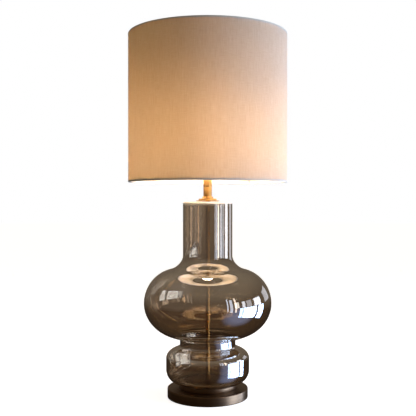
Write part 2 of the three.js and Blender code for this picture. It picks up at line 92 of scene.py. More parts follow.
def bezier(points, steps):
    # the cubic Bezier curve t^3 a + 3 s t^2 b + 3 s^2 t c + s^3 d, where t = 1 - s
    a, b, c, d = (np.array(point, float) for point in points)
    s = np.linspace(0, 1, steps)[:, None]
    t = 1 - s
    return t ** 3 * a + 3 * s * t ** 2 * b + 3 * s ** 2 * t * c + s ** 3 * d


def softBend(start, corner, end, steps):
    # a cubic Bezier curve whose inner points lie 0.55 of the way from its ends to the corner
    start, corner, end = (np.array(point, float) for point in (start, corner, end))
    return bezier([start, start + 0.55 * (corner - start), end + 0.55 * (corner - end), end], steps)


def movedIn(outline, wall):
    # each point moved by the wall along the outline's own normal, (-dz, dr) for a direction (dr, dz)
    along = np.gradient(outline, axis=0)
    along /= np.linalg.norm(along, axis=1)[:, None]
    return outline + wall * np.column_stack([-along[:, 1], along[:, 0]])


def gridPart(points, closedRows, closedColumns, across, down):
    # points is a grid (rows, columns, 3); across and down are its UV distances in metres, one
    # longer where it closes
    rows, columns = points.shape[:2]
    i, j = np.meshgrid(
        np.arange(rows if closedRows else rows - 1),
        np.arange(columns if closedColumns else columns - 1), indexing="ij")
    nextI, nextJ = (i + 1) % rows, (j + 1) % columns
    faces = np.stack([i * columns + j, i * columns + nextJ, nextI * columns + nextJ,
                      nextI * columns + j], -1)
    u = np.stack([across[j], across[j + 1], across[j + 1], across[j]], -1)
    v = np.stack([down[i], down[i], down[i + 1], down[i + 1]], -1)
    part = {
        "points": points.reshape(-1, 3), "faces": faces.reshape(-1, 4),
        "uv": np.stack([u, v], -1).reshape(-1, 4, 2), "caps": [],
    }
    if closedRows and not closedColumns:
        ring = np.arange(rows) * columns
        part["caps"] = [ring, ring[::-1] + columns - 1]
    if closedColumns and not closedRows:
        ring = np.arange(columns)
        part["caps"] = [ring[::-1], ring + (rows - 1) * columns]
    return part


def pathLength(points, closed):
    steps = np.roll(points, -1, axis=0) - points if closed else np.diff(points, axis=0)
    return np.concatenate([[0], np.cumsum(np.linalg.norm(steps, axis=1))])


def turned(outline, segments=160, span=None, ripple=None, angles=None):
    # outline (r, h) carried round Z: x = r cos a, y = r sin a, z = h. ripple(r, h, a) gives a
    # changed r.
    whole = span is None
    if angles is None:
        angles = np.linspace(0, 2 * np.pi, segments + 1)[:-1] if whole else np.radians(
            np.linspace(span[0], span[1], segments + 1))
    radius, height = outline[:, :1], outline[:, 1:]
    radius, height, angle = np.broadcast_arrays(radius, height, angles[None, :])
    radius = radius if ripple is None else ripple(radius, height, angle)
    points = np.stack([radius * np.cos(angle), radius * np.sin(angle), height], -1)
    size = np.abs(outline[:, 0]).max()
    across = size * (np.append(angles, angles[0] + 2 * np.pi) if whole else angles)
    return gridPart(points, True, whole, across, pathLength(outline, True))


def tube(path, radius, side, sides=20):
    # a circle of the given radius carried along a flat path, whose plane has the normal `side`
    path, side = np.array(path, float), np.array(side, float)
    along = np.gradient(path, axis=0)
    along /= np.linalg.norm(along, axis=1)[:, None]
    up = np.cross(side, along)
    a = np.linspace(0, 2 * np.pi, sides + 1)[:-1]
    cosine, sine = np.cos(a)[None, :, None], np.sin(a)[None, :, None]
    points = path[:, None, :] + radius * (cosine * up[:, None, :] + sine * side[None, None, :])
    return gridPart(points, False, True, radius * np.append(a, 2 * np.pi), pathLength(path, False))


def moved(part, turn=None, shift=(0, 0, 0)):
    # points times a 3 x 3 turn, then shifted
    points = part["points"] if turn is None else part["points"] @ np.array(turn, float).T
    return {**part, "points": points + np.array(shift, float)}


zToY = [[1, 0, 0], [0, 0, 1], [0, -1, 0]]  # a turn for pieces whose axis lies along Y


def outwards(part):
    # the signed volume, the sum of a . (b x c) / 6 over the triangles, is negative where faces
    # point inwards
    p, f = part["points"], part["faces"]
    triangles = np.vstack([f[:, [0, 1, 2]], f[:, [0, 2, 3]]])
    a, b, c = (p[triangles[:, k]] for k in range(3))
    volume = np.einsum("ij,ij->i", a, np.cross(b, c)).sum()
    for cap in part["caps"]:
        fan = np.stack([np.full(len(cap) - 2, cap[0]), cap[1:-1], cap[2:]], -1)
        a, b, c = (p[fan[:, k]] for k in range(3))
        volume += np.einsum("ij,ij->i", a, np.cross(b, c)).sum()
    if volume >= 0:
        return part
    return {**part, "faces": f[:, ::-1], "uv": part["uv"][:, ::-1],
            "caps": [cap[::-1] for cap in part["caps"]]}


def makePiece(name, parts, body, materials, replaces=(), sharp=32, materialOf=None):
    # joins the parts into one mesh, welds poles and doubles, shades it smooth below the sharp
    # angle, and places it
    points, faces, uv, caps, count = [], [], [], [], 0
    for part in (outwards(p) for p in parts):
        points.append(part["points"])
        faces.append(part["faces"] + count)
        uv.append(part["uv"])
        caps += [cap + count for cap in part["caps"]]
        count += len(part["points"])
    quads = np.vstack(faces)
    mesh = bpy.data.meshes.new(name)
    mesh.from_pydata(np.vstack(points) * mm, [], quads.tolist() + [cap.tolist() for cap in caps])
    layer = mesh.uv_layers.new(name="surface")
    flat = np.zeros((len(mesh.loops), 2))
    flat[:len(quads) * 4] = np.vstack(uv).reshape(-1, 2) * mm
    layer.data.foreach_set("uv", flat.ravel())
    for material in materials:
        mesh.materials.append(material)
    if materialOf is not None:
        centres = np.vstack(points)[quads].mean(axis=1)
        chosen = np.zeros(len(mesh.polygons), int)
        chosen[:len(quads)] = materialOf(centres)
        mesh.polygons.foreach_set("material_index", chosen)
    work = bmesh.new()
    work.from_mesh(mesh)
    bmesh.ops.remove_doubles(work, verts=work.verts, dist=1e-7)
    bmesh.ops.dissolve_degenerate(work, edges=work.edges, dist=1e-8)
    work.to_mesh(mesh)
    work.free()
    mesh.shade_smooth()
    mesh.set_sharp_from_angle(angle=math.radians(sharp))
    piece = bpy.data.objects.new(name, mesh)
    bpy.context.scene.collection.objects.link(piece)
    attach(piece, body)
    if replaces:
        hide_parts(*replaces)
    return piece


def turnedPiece(name, node, corners, segments, body, material, slot):
    # the commonest piece: one rounded outline carried round Z, standing in for one CAD node
    return makePiece(name, [turned(roundedOutline(corners), segments)], body, [material],
                     [node])


def levels(node):
    # the lowest and highest level of a CAD node, in millimetres
    low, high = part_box(node)
    return low.z / mm, high.z / mm


# helpers: materials

def linear(hexColour):
    # sRGB to linear: c / 12.92 up to 0.04045, and ((c + 0.055) / 1.055) ^ 2.4 above
    parts = [int(hexColour[k:k + 2], 16) / 255 for k in (1, 3, 5)]
    return tuple(c / 12.92 if c <= 0.04045 else ((c + 0.055) / 1.055) ** 2.4
                 for c in parts) + (1.0,)


def addNode(tree, kind, settings=None, links=None, stops=()):
    # settings are a node's own properties, or its inputs by name or number; links feed inputs from
    # an output, or from a node's first output; stops are (position, hex colour) in rising order,
    # for a node with a colour band, which starts with two of them
    node = tree.nodes.new(kind)
    for key, value in (settings or {}).items():
        if isinstance(key, str) and hasattr(node, key):
            setattr(node, key, value)
        else:
            node.inputs[key].default_value = value
    for key, source in (links or {}).items():
        tree.links.new(source.outputs[0] if hasattr(source, "outputs") else source,
                       node.inputs[key])
    for count, (position, colour) in enumerate(stops):
        band = node.color_ramp.elements
        stop = band[count] if count < 2 else band.new(position)
        stop.position, stop.color = position, linear(colour)
    return node


def startMaterial(name):
    material = bpy.data.materials.new(name)
    material.use_nodes = True
    material.node_tree.nodes.clear()
    return material, material.node_tree


def metalMaterial(name, light, dark, roughness, grooves, grooveDepth, patina=0.5):
    # Turned metal: grooves a share of a millimetre apart run round the axis, so highlights spread
    # along them, and a slow mottle stands for lacquer and handling.
    material, tree = startMaterial(name)
    place = addNode(tree, "ShaderNodeTexCoord").outputs["Object"]
    split = addNode(tree, "ShaderNodeSeparateXYZ", {}, {"Vector": place})
    flat = addNode(tree, "ShaderNodeCombineXYZ", {},
                   {"X": split.outputs["X"], "Y": split.outputs["Y"]})
    radius = addNode(tree, "ShaderNodeVectorMath", {"operation": "LENGTH"}, {0: flat})
    lathe = addNode(tree, "ShaderNodeCombineXYZ", {},
                    {"X": radius.outputs["Value"], "Z": split.outputs["Z"]})
    lines = addNode(tree, "ShaderNodeTexNoise",
                    {"Scale": 1 / (grooves * mm), "Detail": 3.0, "Roughness": 0.6},
                    {"Vector": lathe})
    mottle = addNode(tree, "ShaderNodeTexNoise", {"Scale": 45.0, "Detail": 5.0, "Roughness": 0.62},
                     {"Vector": place})
    mixed = addNode(tree, "ShaderNodeMath", {"operation": "MULTIPLY_ADD", 1: patina},
                    {0: mottle.outputs["Fac"], 2: lines.outputs["Fac"]})
    tone = addNode(tree, "ShaderNodeValToRGB", {}, {"Fac": mixed},
                   [(0.35 + 0.3 * patina, dark), (0.8 + 0.5 * patina, light)])
    spread = addNode(tree, "ShaderNodeMapRange",
                     {"To Min": roughness * 0.8, "To Max": roughness * 1.25},
                     {"Value": mottle.outputs["Fac"]})
    bump = addNode(tree, "ShaderNodeBump", {"Strength": 0.6, "Distance": grooveDepth * mm},
                   {"Height": lines.outputs["Fac"]})
    surface = addNode(tree, "ShaderNodeBsdfPrincipled", {"Metallic": 1.0},
                      {"Base Color": tone, "Roughness": spread, "Normal": bump})
    addNode(tree, "ShaderNodeOutputMaterial", {}, {"Surface": surface})
    return material


def mouldedMaterial(name, light, dark, roughness, grain, grainDepth, settings=None):
    # Moulded or coated surface: a fine grain in relief, and a slow change of shade.
    material, tree = startMaterial(name)
    place = addNode(tree, "ShaderNodeTexCoord").outputs["Object"]
    fine = addNode(tree, "ShaderNodeTexNoise", {"Scale": 1 / (grain * mm), "Detail": 2.0},
                   {"Vector": place})
    slow = addNode(tree, "ShaderNodeTexNoise", {"Scale": 60.0, "Detail": 4.0}, {"Vector": place})
    tone = addNode(tree, "ShaderNodeValToRGB", {}, {"Fac": slow.outputs["Fac"]},
                   [(0.3, dark), (0.7, light)])
    spread = addNode(tree, "ShaderNodeMapRange",
                     {"To Min": roughness * 0.85, "To Max": roughness * 1.2},
                     {"Value": slow.outputs["Fac"]})
    bump = addNode(tree, "ShaderNodeBump", {"Strength": 0.5, "Distance": grainDepth * mm},
                   {"Height": fine.outputs["Fac"]})
    surface = addNode(tree, "ShaderNodeBsdfPrincipled", settings or {},
                      {"Base Color": tone, "Roughness": spread, "Normal": bump})
    addNode(tree, "ShaderNodeOutputMaterial", {}, {"Surface": surface})
    return material


# brass chemically darkened to bronze brown, then turned and lacquered: dark, with a warm broad
# highlight
bronzedBrass = metalMaterial("bronzedBrass", "#8b6f54", "#5d4a38", 0.31, 0.9, 0.012, 0.25)
# polished brass under lacquer: golden, with close turning marks
polishedBrass = metalMaterial("polishedBrass", "#e6b978", "#c9964f", 0.3, 0.5, 0.01, 0.3)
# drawn brass tube, left bare and dulled: brown gold
drawnBrass = metalMaterial("drawnBrass", "#b98f56", "#8f6a3a", 0.22, 0.6, 0.008, 0.3)
# zinc plate over steel: cool grey and a little cloudy
zincPlate = metalMaterial("zincPlate", "#c9ccce", "#9fa3a6", 0.34, 0.6, 0.02, 0.8)
# sand-cast iron: near black, with a coarse skin
castIron = mouldedMaterial("castIron", "#403f3e", "#2a2928", 0.7, 1.4, 0.35, {"Metallic": 0.6})
# moulded phenolic: black, satin, with a trace of brown
blackPhenolic = mouldedMaterial("blackPhenolic", "#25211e", "#161413", 0.38, 0.5, 0.03)
# white epoxy powder coat: faint orange peel
powderCoat = mouldedMaterial("powderCoat", "#f1eee6", "#e2ded4", 0.4, 1.1, 0.05)
# soft clear silicone: milky and dull
siliconeRubber = mouldedMaterial("siliconeRubber", "#ddd6c6", "#c9c1af", 0.55, 0.7, 0.03)


def makeFelt():
    # pressed wool felt: short fibres lie every way, so it is dull with a soft edge light
    material, tree = startMaterial("pressedFelt")
    place = addNode(tree, "ShaderNodeTexCoord").outputs["Object"]
    fibres = addNode(tree, "ShaderNodeTexNoise",
                     {"Scale": 900.0, "Detail": 6.0, "Roughness": 0.7, "Distortion": 1.5},
                     {"Vector": place})
    tone = addNode(tree, "ShaderNodeValToRGB", {}, {"Fac": fibres.outputs["Fac"]},
                   [(0.3, "#2c241e"), (0.7, "#4a3d33")])
    bump = addNode(tree, "ShaderNodeBump", {"Strength": 0.8, "Distance": 0.3 * mm},
                   {"Height": fibres.outputs["Fac"]})
    surface = addNode(tree, "ShaderNodeBsdfPrincipled",
                      {"Roughness": 0.95, "Sheen Weight": 0.4, "Sheen Roughness": 0.5},
                      {"Base Color": tone, "Normal": bump})
    addNode(tree, "ShaderNodeOutputMaterial", {}, {"Surface": surface})
    return material


def makeBlownGlass(name, lustre):
    # Blown soda-lime glass, smoked brown. The outside carries a thin fired-on metal lustre, so it
    # is clear to look through and yet a warm mirror; the inside is bare. For shadow rays it is
    # plain tinted, so that daylight gets to what stands inside.
    material, tree = startMaterial(name)
    settings = {"Base Color": linear("#f0e4d4"), "Roughness": 0.01, "IOR": 1.52,
                "Transmission Weight": 1.0}
    if lustre:
        settings.update({"Metallic": 0.2, "Coat Weight": 1.0, "Coat Roughness": 0.008,
                         "Coat IOR": 2.5})
    surface = addNode(tree, "ShaderNodeBsdfPrincipled", settings)
    clear = addNode(tree, "ShaderNodeBsdfTransparent", {"Color": linear("#dcd0c0")})
    path = addNode(tree, "ShaderNodeLightPath")
    mix = addNode(tree, "ShaderNodeMixShader", {}, {
        0: path.outputs["Is Shadow Ray"], 1: surface, 2: clear})
    addNode(tree, "ShaderNodeOutputMaterial", {}, {"Surface": mix})
    return material


def makeLinen(name, through=0.42, edges=None):
    # Unbleached linen and cotton: uneven upright yarns with slubs, crossed by finer weft. Real
    # threads are about 0.5 mm apart; they are drawn 1.1 mm apart so that they show. The lamp shines
    # through it, but not where it is glued down over the wires: `edges` are the levels, in metres,
    # where that starts at the bottom and the top.
    material, tree = startMaterial(name)
    place = addNode(tree, "ShaderNodeTexCoord").outputs
    warpPlace = addNode(tree, "ShaderNodeMapping", {"Scale": (900.0, 45.0, 1.0)},
                        {"Vector": place["UV"]})
    weftPlace = addNode(tree, "ShaderNodeMapping", {"Scale": (50.0, 900.0, 1.0)},
                        {"Vector": place["UV"]})
    slubPlace = addNode(tree, "ShaderNodeMapping", {"Scale": (300.0, 12.0, 1.0)},
                        {"Vector": place["UV"]})
    warp = addNode(tree, "ShaderNodeTexNoise", {"Scale": 1.0, "Detail": 2.0, "Roughness": 0.6},
                   {"Vector": warpPlace})
    weft = addNode(tree, "ShaderNodeTexNoise", {"Scale": 1.0, "Detail": 2.0, "Roughness": 0.6},
                   {"Vector": weftPlace})
    slub = addNode(tree, "ShaderNodeTexNoise", {"Scale": 1.0, "Detail": 2.0}, {"Vector": slubPlace})
    cross = addNode(tree, "ShaderNodeMath", {"operation": "MULTIPLY_ADD", 1: 0.8},
                    {0: weft.outputs["Fac"], 2: warp.outputs["Fac"]})
    cloth = addNode(tree, "ShaderNodeMath", {"operation": "MULTIPLY_ADD", 1: 0.4},
                    {0: slub.outputs["Fac"], 2: cross})
    share = addNode(tree, "ShaderNodeMapRange", {"From Min": 0.6, "From Max": 1.6},
                    {"Value": cloth})
    tone = addNode(tree, "ShaderNodeValToRGB", {}, {"Fac": share},
                   [(0.0, "#d2ccc2"), (0.5, "#e2dfd9"), (1.0, "#efedea")])
    glow = addNode(tree, "ShaderNodeValToRGB", {}, {"Fac": share},
                   [(0.0, "#e4d4bd"), (0.5, "#f0e4d2"), (1.0, "#faf1e4")])
    bump = addNode(tree, "ShaderNodeBump", {"Strength": 0.5, "Distance": 0.2 * mm},
                   {"Height": cloth})
    front = addNode(tree, "ShaderNodeBsdfDiffuse", {"Roughness": 0.6},
                    {"Color": tone, "Normal": bump})
    back = addNode(tree, "ShaderNodeBsdfTranslucent", {}, {"Color": glow, "Normal": bump})
    mix = addNode(tree, "ShaderNodeMixShader", {0: through}, {1: front, 2: back})
    if edges is not None:
        level = addNode(tree, "ShaderNodeSeparateXYZ", {}, {"Vector": place["Object"]}).outputs["Z"]
        low = addNode(tree, "ShaderNodeMapRange",
                      {"From Min": edges[0], "From Max": edges[0] + 1.5 * mm}, {"Value": level})
        high = addNode(tree, "ShaderNodeMapRange",
                       {"From Min": edges[1], "From Max": edges[1] - 1.5 * mm}, {"Value": level})
        single = addNode(tree, "ShaderNodeMath", {"operation": "MULTIPLY"}, {0: low, 1: high})
        passed = addNode(tree, "ShaderNodeMath", {"operation": "MULTIPLY", 1: through}, {0: single})
        tree.links.new(passed.outputs[0], mix.inputs[0])
    addNode(tree, "ShaderNodeOutputMaterial", {}, {"Surface": mix})
    return material


def makeClothBack():
    # the hidden back of the cloth, wetted out by the film's glue: it passes light on and shows no
    # weave
    material, tree = startMaterial("linenBack")
    back = addNode(tree, "ShaderNodeBsdfTranslucent", {"Color": linear("#fbf6ec")})
    addNode(tree, "ShaderNodeOutputMaterial", {}, {"Surface": back})
    return material


def makeLiner(name, hidden=False):
    # white PVC film laminated behind the cloth: smooth, faintly glossy, and it passes a third of
    # the light
    material, tree = startMaterial(name)
    through = addNode(tree, "ShaderNodeBsdfTranslucent", {"Color": linear("#fff4e2")})
    if hidden:
        addNode(tree, "ShaderNodeOutputMaterial", {}, {"Surface": through})
        return material
    place = addNode(tree, "ShaderNodeTexCoord").outputs["Object"]
    peel = addNode(tree, "ShaderNodeTexNoise", {"Scale": 160.0, "Detail": 3.0}, {"Vector": place})
    tone = addNode(tree, "ShaderNodeValToRGB", {}, {"Fac": peel.outputs["Fac"]},
                   [(0.3, "#f6efe1"), (0.7, "#fdf9f0")])
    front = addNode(tree, "ShaderNodeBsdfDiffuse", {}, {"Color": tone})
    mix = addNode(tree, "ShaderNodeMixShader", {0: 0.34}, {1: front, 2: through})
    addNode(tree, "ShaderNodeOutputMaterial", {}, {"Surface": mix})
    return material


def makeOpalGlass(name, lit):
    # opal glass round warm white filaments, which hang low in the bowl: it glows most there and
    # less at its crown. Only the outer skin is lit, so that no light is spent inside.
    material, tree = startMaterial(name)
    place = addNode(tree, "ShaderNodeTexCoord").outputs["Object"]
    level = addNode(tree, "ShaderNodeSeparateXYZ", {}, {"Vector": place}).outputs["Z"]
    low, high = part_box("bulb_globe")
    share = addNode(tree, "ShaderNodeMapRange", {"From Min": low.z, "From Max": high.z},
                    {"Value": level})
    glow = addNode(tree, "ShaderNodeValToRGB", {}, {"Fac": share},
                   [(0.0, "#ffe6cd"), (0.35, "#ffe6cd"), (0.7, "#9b8d7c"), (1.0, "#655c52")])
    strength = 180.0 if lit else 0.0
    surface = addNode(tree, "ShaderNodeBsdfPrincipled", {
        "Base Color": linear("#fff6e6"), "Roughness": 0.35, "Emission Strength": strength})
    if lit:
        tree.links.new(glow.outputs[0], surface.inputs["Emission Color"])
        material.cycles.emission_sampling = "FRONT"
    addNode(tree, "ShaderNodeOutputMaterial", {}, {"Surface": surface})
    return material


def makeGroundGlass():
    # the top of the neck is ground flat for the gasket: a matt, frosty edge that catches the light
    # from above
    material, tree = startMaterial("groundGlass")
    place = addNode(tree, "ShaderNodeTexCoord").outputs["Object"]
    grit = addNode(tree, "ShaderNodeTexNoise", {"Scale": 700.0, "Detail": 3.0}, {"Vector": place})
    bump = addNode(tree, "ShaderNodeBump", {"Strength": 0.4, "Distance": 0.1 * mm},
                   {"Height": grit.outputs["Fac"]})
    surface = addNode(tree, "ShaderNodeBsdfPrincipled", {
        "Base Color": linear("#fdf6e8"), "Roughness": 0.5, "IOR": 1.52,
        "Transmission Weight": 0.25},
        {"Normal": bump})
    addNode(tree, "ShaderNodeOutputMaterial", {}, {"Surface": surface})
    return material


feltBrown = makeFelt()
groundGlass = makeGroundGlass()
lustreGlass, smokedGlass = makeBlownGlass("lustreGlass", True), makeBlownGlass("smokedGlass", False)
slubLinen = makeLinen("slubLinen", edges=(0.4862, 0.8098))
rolledLinen = makeLinen("rolledLinen", 0.04)
linenBack = makeClothBack()
linerFilm, linerBack = makeLiner("linerFilm"), makeLiner("linerBack", hidden=True)
opalGlass, opalInside = makeOpalGlass("opalGlass", True), makeOpalGlass("opalInside", False)
print("materials made")


# the foot: felt, turned brass shell and cord bushing

foot = {"radius": 90.6, "wall": 1.6, "edge": 2.0, "hole": 5.4, "feltRadius": 88.7, "segments": 224}
bushing = {"bore": 3.6, "barrel": 5, "flange": 7, "flangeThickness": 1.5}


def makeFoot():
    bottom, top = levels("base_shell")
    inner = foot["radius"] - foot["wall"]
    turnedPiece("footShell", "base_shell", [
        (inner, bottom, 0.3), (foot["radius"] - 0.3, bottom, 0.9),
        (foot["radius"], bottom + 1.0, 0.6),
        (foot["radius"], top, foot["edge"]), (foot["hole"], top),
        (foot["hole"], top - foot["wall"]),
        (inner, top - foot["wall"], 0.5)], foot["segments"], "stand", bronzedBrass, "antique_brass")
    bottom, top = levels("felt_pad")
    felt = turnedPiece("feltDisc", "felt_pad", [
        (0, bottom), (foot["feltRadius"], bottom, 0.5), (foot["feltRadius"], top, 0.5), (0, top)],
        96, "stand", feltBrown, "brown_felt")
    # the bushing is turned about Y: its barrel is inside the shell and its flange outside
    low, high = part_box("inlet_bushing")
    start, end, level = low.y / mm, high.y / mm, (low.z + high.z) / 2 / mm
    b = bushing
    flange = end - b["flangeThickness"]
    outline = roundedOutline([
        (b["bore"], start, 0.3), (b["barrel"], start, 0.3), (b["barrel"], flange),
        (b["flange"], flange, 0.3),
        (b["flange"], end, 0.8), (b["barrel"] + 0.2, end, 0.5), (b["bore"], end, 0.8)])
    grommet = moved(turned(outline, 48), zToY, (0, 0, level))
    makePiece("cordBushing", [grommet], "stand", [blackPhenolic],
              ["inlet_bushing"])


makeFoot()
print("foot made")


# the seat of the glass, its gaskets and the blown glass

seat = {"radius": 65.5, "spigot": 50.5, "spigotHeight": 6, "hole": 5.4, "edge": 1.4,
        "segments": 224}
gaskets = {  # piece, CAD node, inner and outer radius
    "footGasket": ("lower_gasket", 53.2, 64.2),
    "neckGasket": ("upper_gasket", 5.4, 23.5),
}
glass = {
    "wall": 4, "floor": 5, "hole": 52, "topHole": 8, "topEdge": 4.5,
    "bulbRadius": 93.7, "cornerReach": 28.2, "cornerRise": 29.5, "sideTop": 55.1,
    "shoulderRise": 24.6,
    "waistRadius": 62.8, "waistLow": 84.2, "waistHigh": 95.7, "bodyRadius": 143.5, "widest": 178.4,
    "below": 77.4, "above": 77.3, "neckRadius": 55.7, "neckStart": 286.2, "height": 406.4,
    "groundEdge": 4.6, "segments": 256,
}


def glassSide():
    # the outside above the flat foot: ellipse arcs for the squat bulb and the wide body, joined by
    # soft bends
    g = glass
    corner = ellipseArc((g["bulbRadius"] - g["cornerReach"], g["cornerRise"]), g["cornerReach"],
                        g["cornerRise"], -90, 0, 24)
    shoulderRadius = g["waistRadius"] - 8
    shoulder = ellipseArc((shoulderRadius, g["sideTop"]), g["bulbRadius"] - shoulderRadius,
                          g["shoulderRise"], 0, 72, 22)
    lowerRadius = g["waistRadius"] - 6.2
    lower = ellipseArc((lowerRadius, g["widest"]), g["bodyRadius"] - lowerRadius, g["below"], -82,
                       0, 34)
    upperRadius = g["neckRadius"] + 13.3
    upper = ellipseArc((upperRadius, g["widest"]), g["bodyRadius"] - upperRadius, g["above"], 0, 77,
                       34)
    low, high = (g["waistRadius"], g["waistLow"]), (g["waistRadius"], g["waistHigh"])
    neck = (g["neckRadius"], g["neckStart"])
    end, begin, last = shoulder[-1], lower[0], upper[-1]
    return np.vstack([
        corner, shoulder, softBend(end, (low[0], end[1] + 0.2 * (end[0] - low[0])), low, 10)[1:],
        softBend(high, (high[0], begin[1] - 0.13 * (begin[0] - high[0])), begin, 10)[:-1],
        lower, upper[1:],
        softBend(last, (neck[0], last[1] + 0.24 * (last[0] - neck[0])), neck, 16)[1:],
    ])


def makeGlass():
    g = glass
    bottom, top = levels("glass_body")
    side = glassSide()
    inside = movedIn(side, g["wall"])
    inside = inside[inside[:, 1] > g["floor"] + 1.5]
    neckInner = g["neckRadius"] - g["wall"]
    crown = ellipseArc((g["neckRadius"] - g["topEdge"], g["height"] - g["topEdge"]), g["topEdge"],
                       g["topEdge"], 0, 90, 9)
    underCrown = ellipseArc((neckInner - 3, g["height"] - g["floor"] - 3), 3, 3, 90, 0, 6)
    floorEnd = inside[0] + np.array([-3.5, g["floor"] - inside[0, 1]])
    outline = np.vstack([
        [(g["hole"], 0)], side, crown,
        [(g["topHole"] + 0.8, g["height"]), (g["topHole"], g["height"] - 0.8),
         (g["topHole"], g["height"] - g["floor"])],
        underCrown, inside[::-1], [floorEnd, (g["hole"], g["floor"])],
    ])
    outline = outline + np.array([0, bottom])
    # the lustre is on every face outside the line half a wall in from the side
    line = np.vstack([[(0, bottom + 2.5)], movedIn(side, g["wall"] / 2) + np.array([0, bottom]),
                      [(neckInner, top - 2.5), (0, top - 2.5)]])

    def isInside(centres):
        # a face is inside where its middle is nearer the axis than the line at its level
        radius, height = np.hypot(centres[:, 0], centres[:, 1]), centres[:, 2]
        order = np.argsort(line[1:-1, 1])
        limit = np.interp(height, line[1:-1, 1][order], line[1:-1, 0][order])
        inside = (radius < limit) & (height > bottom + 2.5) & (height < top - 2.5)
        return np.where(height > top - g["groundEdge"], 2, inside.astype(int))

    makePiece("blownGlass", [turned(outline, g["segments"])], "stand",
              [lustreGlass, smokedGlass, groundGlass],
              ["glass_body"], sharp=50, materialOf=isInside)

    low, high = levels("glass_seat")
    shoulder = high - seat["spigotHeight"]
    turnedPiece("glassSeat", "glass_seat", [
        (seat["hole"], low), (seat["radius"], low, 0.5), (seat["radius"], shoulder, seat["edge"]),
        (seat["spigot"], shoulder, 0.3), (seat["spigot"], high, 1.2), (seat["hole"], high)],
        seat["segments"], "stand", bronzedBrass, "antique_brass")
    for name, (node, inner, outer) in gaskets.items():
        low, high = levels(node)
        turnedPiece(name, node, [
            (inner, low, 0.3), (outer, low, 0.35), (outer, high, 0.35), (inner, high, 0.3)],
            160, "stand", siliconeRubber, "pale_rubber")


makeGlass()
print("glass made")


# the cap on the neck, the rod and the stem

brassOnStand = ("stand", polishedBrass, "polished_brass")
stem = {"rodRadius": 5, "rodBore": 3.5, "hole": 5.4, "stemRadius": 9.5, "stemWall": 1.5,
        "plate": 26.5, "ring": 21,
        "collar": 13, "collarTop": 10.6, "lowThread": 46, "highThread": 425, "threadDepth": 0.28,
        "threadPitch": 2, "coupler": 9.7, "segments": 128}


def makeStem():
    s = stem
    low, high = levels("cap_plate")
    turnedPiece("neckPlate", "cap_plate", [
        (s["hole"], low), (s["plate"], low, 0.5), (s["plate"], high, 0.7), (s["hole"], high)],
        s["segments"], *brassOnStand)
    low, high = levels("cap_ring")
    turnedPiece("neckRing", "cap_ring", [
        (s["hole"], low), (s["ring"], low, 0.4), (s["ring"], low + 1.6, 0.5),
        (s["ring"] - 0.9, low + 1.9, 0.3),
        (s["ring"] - 0.9, high, 1.7), (s["hole"], high)], s["segments"], *brassOnStand)
    low, high = levels("cap_collar")
    inner = s["stemRadius"] + 0.3
    turnedPiece("stemCollar", "cap_collar", [
        (inner, low), (s["collar"], low, 0.4), (s["collar"], low + 1.2, 0.5),
        (s["collarTop"], high, 0.8), (inner, high)], 96, *brassOnStand)
    low, high = levels("stem_tube")
    bore = s["stemRadius"] - s["stemWall"]
    turnedPiece("stemTube", "stem_tube", [
        (bore, low), (s["stemRadius"], low, 0.2), (s["stemRadius"], high, 0.3), (bore, high, 0.2)],
        96, *brassOnStand)
    low, high = levels("stem_coupler")
    turnedPiece("stemCoupler", "stem_coupler", [
        (s["hole"], low), (s["coupler"], low, 0.25), (s["coupler"], high, 0.5), (s["hole"], high)],
        96, *brassOnStand)
    low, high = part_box("coupler_screw")
    start, end, level = low.y / mm, high.y / mm, (low.z + high.z) / 2 / mm
    pin = roundedOutline([(0, start), (1.5, start, 0.2), (1.5, end, 0.35), (0, end)])
    makePiece("lockScrew", [moved(turned(pin, 32), zToY, (0, 0, level))], "stand",
              [polishedBrass], ["coupler_screw"])
    low, high = levels("threaded_rod")
    # plain in the middle, threaded at both ends: there r = mean + depth cos(2 pi (h / pitch -
    # turns)), drawn at a pitch of 2 mm so that it shows
    mean = s["rodRadius"] - s["threadDepth"]
    heights = np.concatenate([np.arange(low, s["lowThread"], 0.5),
                              [s["lowThread"] + 1.5, s["highThread"] - 1.5],
                              np.arange(s["highThread"], high, 0.5)])
    outside = np.column_stack([np.full(len(heights), mean), heights])
    outline = np.vstack([[(s["rodBore"], low)], outside, [(mean, high), (s["rodBore"], high)]])

    def thread(radius, height, angle):
        wave = np.cos(2 * np.pi * (height / s["threadPitch"] - angle / (2 * np.pi)))
        plain = (height > s["lowThread"] + 1) & (height < s["highThread"] - 1)
        return np.where(radius > 4, radius + s["threadDepth"] * np.where(plain, 0.9, wave), radius)

    makePiece("hollowRod", [turned(outline, 36, ripple=thread)], "stand", [drawnBrass],
              ["threaded_rod"], sharp=70)


makeStem()
print("stem made")


# the lampholder: cap, skirt with its flange and thread, clamp ring and switch bar

holder = {"radius": 19.5, "wall": 1.5, "floor": 2.8, "flange": 22.5, "flangeLow": 17.4,
          "flangeHigh": 19.4, "hole": 5.4,
          "windowHalf": 3.5, "barHalf": 3.0, "threadPitch": 2.4, "threadDepth": 0.22,
          "segments": 128}
clamp = {"inner": 20.1, "flange": 24, "grip": 22.5, "ribs": 28, "ribDepth": 0.7, "segments": 224}


